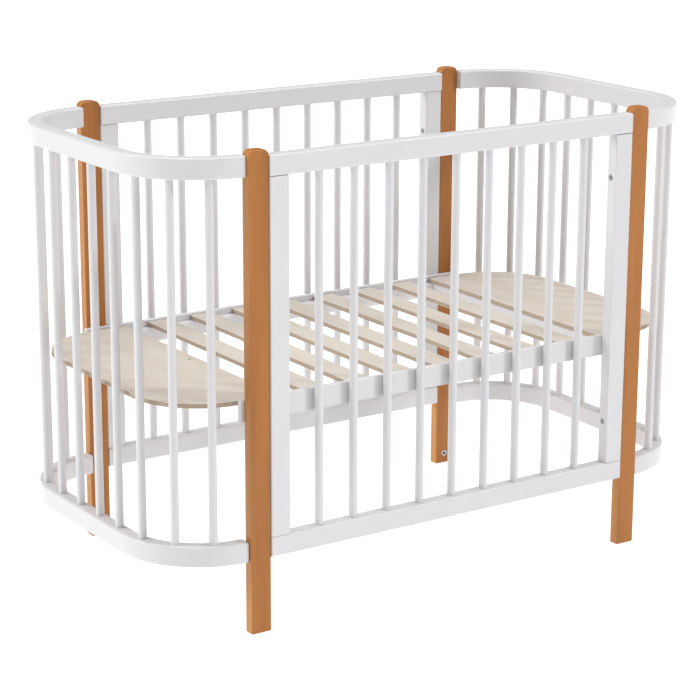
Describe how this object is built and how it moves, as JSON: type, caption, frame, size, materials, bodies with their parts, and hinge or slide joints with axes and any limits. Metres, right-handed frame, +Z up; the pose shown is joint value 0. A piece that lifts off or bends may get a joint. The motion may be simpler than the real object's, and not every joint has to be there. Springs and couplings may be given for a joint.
{
  "type": "baby crib",
  "caption": "Open-topped infant crib with railed long sides between flat wooden legs, rounded railed ends and a flat slatted mattress base.",
  "frame": {"origin": "on the floor, under the centre of the crib's bounding box", "axes": "+X along the crib's long sides, +Y from the front side to the back side, +Z up"},
  "size_m": [1.257, 0.657, 0.9],
  "materials": {
    "beech": "clear satin lacquer, warm orange-brown beech",
    "white_lacquer": "white satin lacquer over wood",
    "birch_ply": "pale birch plywood, bare or thinly sealed",
    "steel": "zinc-plated socket screws"
  },
  "bodies": {
    "root": {"base_bolt_back_left": "steel", "base_bolt_back_right": "steel", "base_bolt_front_left": "steel", "base_bolt_front_right": "steel", "base_rail_back": "white_lacquer", "base_rail_front": "white_lacquer", "bolt_back_left_lower": "steel", "bolt_back_left_upper": "steel", "bolt_back_right_lower": "steel", "bolt_back_right_upper": "steel", "bolt_front_left_lower": "steel", "bolt_front_left_upper": "steel", "bolt_front_right_lower": "steel", "bolt_front_right_upper": "steel", "cross_rail_left": "white_lacquer", "cross_rail_right": "white_lacquer", "end_board_left": "birch_ply", "end_board_right": "birch_ply", "end_frame_left": "white_lacquer", "end_frame_right": "white_lacquer", "end_rail_top_left": "white_lacquer", "end_rail_top_right": "white_lacquer", "leg_back_left": "beech", "leg_back_right": "beech", "leg_front_left": "beech", "leg_front_right": "beech", "rail_bottom_back": "white_lacquer", "rail_bottom_front": "white_lacquer", "rail_top_back": "white_lacquer", "rail_top_front": "white_lacquer", "slat_1": "birch_ply", "slat_2": "birch_ply", "slat_3": "birch_ply", "slat_4": "birch_ply", "slat_5": "birch_ply", "slat_6": "birch_ply", "slat_7": "birch_ply", "spindle_back_1": "white_lacquer", "spindle_back_2": "white_lacquer", "spindle_back_3": "white_lacquer", "spindle_back_4": "white_lacquer", "spindle_back_5": "white_lacquer", "spindle_back_6": "white_lacquer", "spindle_back_7": "white_lacquer", "spindle_back_8": "white_lacquer", "spindle_back_9": "white_lacquer", "spindle_front_1": "white_lacquer", "spindle_front_2": "white_lacquer", "spindle_front_3": "white_lacquer", "spindle_front_4": "white_lacquer", "spindle_front_5": "white_lacquer", "spindle_front_6": "white_lacquer", "spindle_front_7": "white_lacquer", "spindle_front_8": "white_lacquer", "spindle_front_9": "white_lacquer", "stile_back_left": "white_lacquer", "stile_back_right": "white_lacquer", "stile_front_left": "white_lacquer", "stile_front_right": "white_lacquer"}
  },
  "joints": []
}
